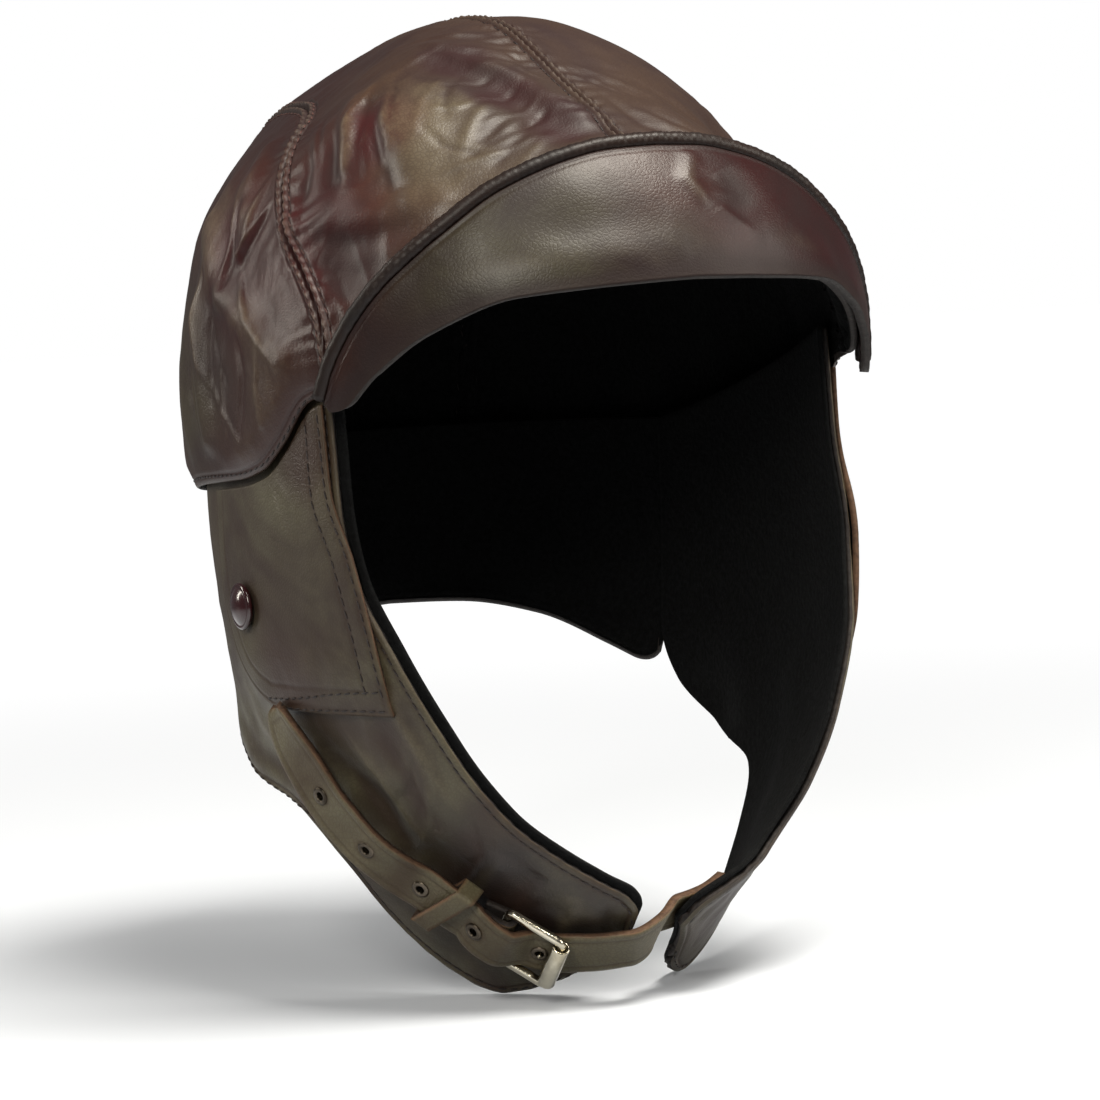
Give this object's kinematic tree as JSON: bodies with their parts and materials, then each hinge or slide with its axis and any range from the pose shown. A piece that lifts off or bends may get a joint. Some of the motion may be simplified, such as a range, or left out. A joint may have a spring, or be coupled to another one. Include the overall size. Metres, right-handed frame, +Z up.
{
  "type": "leather flying helmet",
  "caption": "Soft leather flying helmet with a puffed crown, a turned-up peak, lined ear flaps and a neck guard, closed under the chin by a buckled strap.",
  "frame": {"origin": "inside top of the crown, where the helmet sits on a head", "axes": "+Z up out of the crown, -Y out of the face opening, -X to the wearer's right ear"},
  "size_m": [0.1756, 0.2131, 0.2605],
  "materials": {
    "crown_leather": "glossy",
    "flap_leather": "satin",
    "peak_leather": "satin",
    "binding_leather": "satin",
    "lining_cloth": "matt",
    "snap_paint": "glossy",
    "strap_leather": "satin",
    "buckle_metal": "polished",
    "eyelet_metal": "dull"
  },
  "bodies": {
    "root": {"crown_top_right": "crown_leather", "crown_side_right": "crown_leather", "ear_flap_right": "flap_leather", "flap_lining_right": "lining_cloth", "ear_patch_right": "flap_leather", "snap_right": "snap_paint", "crown_top_left": "crown_leather", "crown_side_left": "crown_leather", "ear_flap_left": "flap_leather", "flap_lining_left": "lining_cloth", "ear_patch_left": "flap_leather", "snap_left": "snap_paint", "neck_guard": "flap_leather", "peak": "peak_leather", "peak_binding": "binding_leather", "chin_strap": "strap_leather", "eyelet_1": "eyelet_metal", "eyelet_2": "eyelet_metal", "eyelet_3": "eyelet_metal", "eyelet_4": "eyelet_metal", "eyelet_5": "eyelet_metal", "buckle_frame": "buckle_metal", "buckle_roller": "buckle_metal", "buckle_prong": "buckle_metal", "buckle_chape": "strap_leather", "keeper_loop": "strap_leather"}
  },
  "joints": []
}
